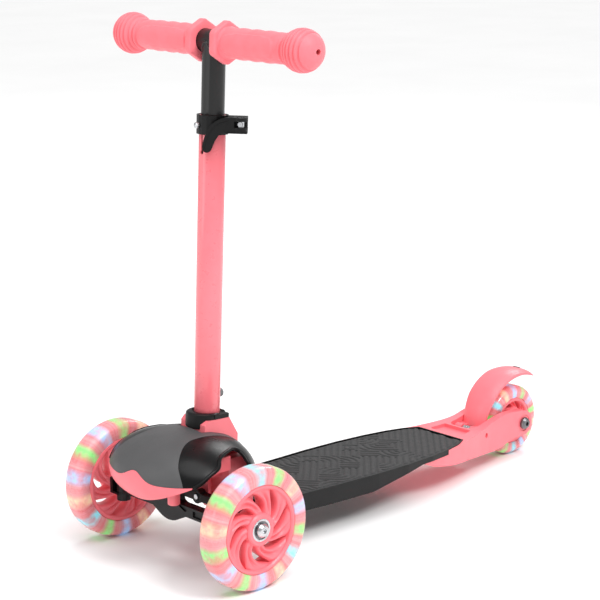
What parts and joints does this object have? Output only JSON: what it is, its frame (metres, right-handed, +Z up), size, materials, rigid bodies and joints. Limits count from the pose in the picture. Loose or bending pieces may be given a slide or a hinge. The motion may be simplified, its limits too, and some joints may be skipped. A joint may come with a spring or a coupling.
{
  "type": "kick scooter",
  "caption": "Child's three-wheeled lean-to-steer kick scooter: T handlebar on a leaning column with a height clamp, rounded nose, matted deck and a rear fender brake.",
  "frame": {"origin": "on the floor, midway along and across the scooter", "axes": "+X to the rider's left, -Y the way the scooter travels, +Z up"},
  "size_m": [0.2812, 0.579, 0.5188],
  "materials": {
    "coral_plastic": "smooth moulded nylon, semi-gloss",
    "coral_paint": "gloss paint on steel tube",
    "hood_plastic": "fine matte moulded plastic",
    "side_plastic": "gloss moulded plastic",
    "black_plastic": "moulded plastic",
    "mat_rubber": "embossed rubber",
    "black_steel": "satin black paint on steel",
    "grip_rubber": "soft rubber",
    "tyre_urethane": "clear cast polyurethane",
    "grey_plastic": "moulded plastic",
    "bright_steel": "zinc-plated steel"
  },
  "bodies": {
    "frame": {"deck_tray": "black_plastic", "deck_mat": "mat_rubber", "deck_screw_1": "bright_steel", "deck_screw_2": "bright_steel", "deck_screw_3": "bright_steel", "deck_screw_4": "bright_steel", "tail_fork": "coral_plastic", "nose_hood": "hood_plastic", "nose_side_left": "side_plastic", "nose_side_right": "side_plastic", "nose_chin": "coral_plastic", "nose_chassis": "coral_plastic", "lean_pivot_bolt": "bright_steel", "steering_drive_pin": "bright_steel", "socket_bolt": "bright_steel", "column_tube": "coral_paint", "column_spigot": "bright_steel", "stem_collar": "black_plastic", "clamp_ring": "black_plastic", "clamp_bolt": "bright_steel", "clamp_barrel": "bright_steel", "clamp_screw": "bright_steel", "rear_axle_bolt": "bright_steel", "rear_axle_nut": "bright_steel", "rear_axle_spacer_left": "bright_steel", "rear_axle_spacer_right": "bright_steel", "brake_pin": "bright_steel", "brake_spring": "bright_steel"},
    "bar": {"handlebar": "black_steel", "grip_left": "grip_rubber", "grip_right": "grip_rubber"},
    "lever": {"clamp_lever": "black_plastic"},
    "button": {"column_button": "grey_plastic"},
    "axle_beam": {"axle_beam": "black_plastic", "kingpin_left": "bright_steel", "kingpin_right": "bright_steel"},
    "tie_rod": {"tie_rod": "black_plastic"},
    "brake": {"brake_fender": "coral_plastic"},
    "knuckle_left": {"knuckle_left": "black_plastic", "tie_rod_pin_left": "bright_steel", "axle_bolt_left": "bright_steel", "axle_spacer_left": "bright_steel"},
    "wheel_left": {"wheel_left_core": "coral_plastic", "wheel_left_tyre": "tyre_urethane", "wheel_left_bearing_outer": "bright_steel", "wheel_left_bearing_inner": "bright_steel"},
    "knuckle_right": {"knuckle_right": "black_plastic", "tie_rod_pin_right": "bright_steel", "axle_bolt_right": "bright_steel", "axle_spacer_right": "bright_steel"},
    "wheel_right": {"wheel_right_core": "coral_plastic", "wheel_right_tyre": "tyre_urethane", "wheel_right_bearing_outer": "bright_steel", "wheel_right_bearing_inner": "bright_steel"},
    "wheel_rear": {"wheel_rear_core": "coral_plastic", "wheel_rear_tyre": "tyre_urethane", "wheel_rear_bearing_outer": "bright_steel", "wheel_rear_bearing_inner": "bright_steel"}
  },
  "joints": [
    {"name": "height_slide", "type": "slide", "parent": "frame", "child": "bar", "axis": [0, 0.0492, 0.9988], "range_m": [-0.045, 0.11]},
    {"name": "lever_swing", "type": "hinge", "parent": "frame", "child": "lever", "pos_m": [0.02899, -0.17306, 0.42303], "axis": [0, 0.0492, 0.9988], "range_deg": [0, 150]},
    {"name": "button_press", "type": "slide", "parent": "frame", "child": "button", "axis": [0, -0.9988, 0.0492], "range_m": [0, 0.005], "stiffness_N_per_m": 300, "springref_m": -0.003},
    {"name": "lean", "type": "hinge", "parent": "frame", "child": "axle_beam", "pos_m": [0, -0.2415, 0.092], "axis": [0, 1, 0], "range_deg": [-10, 10], "stiffness_Nm_per_rad": 40},
    {"name": "steer_left", "type": "hinge", "parent": "axle_beam", "child": "knuckle_left", "pos_m": [0.076, -0.2415, 0.05962], "axis": [0, 0, 1], "range_deg": [-12, 12]},
    {"name": "steer_right", "type": "hinge", "parent": "axle_beam", "child": "knuckle_right", "pos_m": [-0.076, -0.2415, 0.05962], "axis": [0, 0, 1], "range_deg": [-12, 12]},
    {"name": "tie_rod_joint", "type": "hinge", "parent": "knuckle_left", "child": "tie_rod", "pos_m": [0.076, -0.2075, 0.05962], "axis": [0, 0, 1], "range_deg": [-12, 12]},
    {"name": "wheel_left_spin", "type": "hinge", "parent": "knuckle_left", "child": "wheel_left", "pos_m": [0.102, -0.2285, 0.05962], "axis": [1, 0, 0], "continuous": true},
    {"name": "wheel_right_spin", "type": "hinge", "parent": "knuckle_right", "child": "wheel_right", "pos_m": [-0.102, -0.2285, 0.05962], "axis": [1, 0, 0], "continuous": true},
    {"name": "wheel_rear_spin", "type": "hinge", "parent": "frame", "child": "wheel_rear", "pos_m": [0, 0.2495, 0.03959], "axis": [1, 0, 0], "continuous": true},
    {"name": "brake_press", "type": "hinge", "parent": "frame", "child": "brake", "pos_m": [0, 0.1835, 0.04], "axis": [1, 0, 0], "range_deg": [-11, 0], "stiffness_Nm_per_rad": 2, "springref_deg": 5.73}
  ],
  "couplings": [
    {"joint": "steer_left", "follows": "lean", "ratio": -0.9523},
    {"joint": "steer_right", "follows": "lean", "ratio": -0.9523},
    {"joint": "tie_rod_joint", "follows": "lean", "ratio": 0.9523}
  ]
}
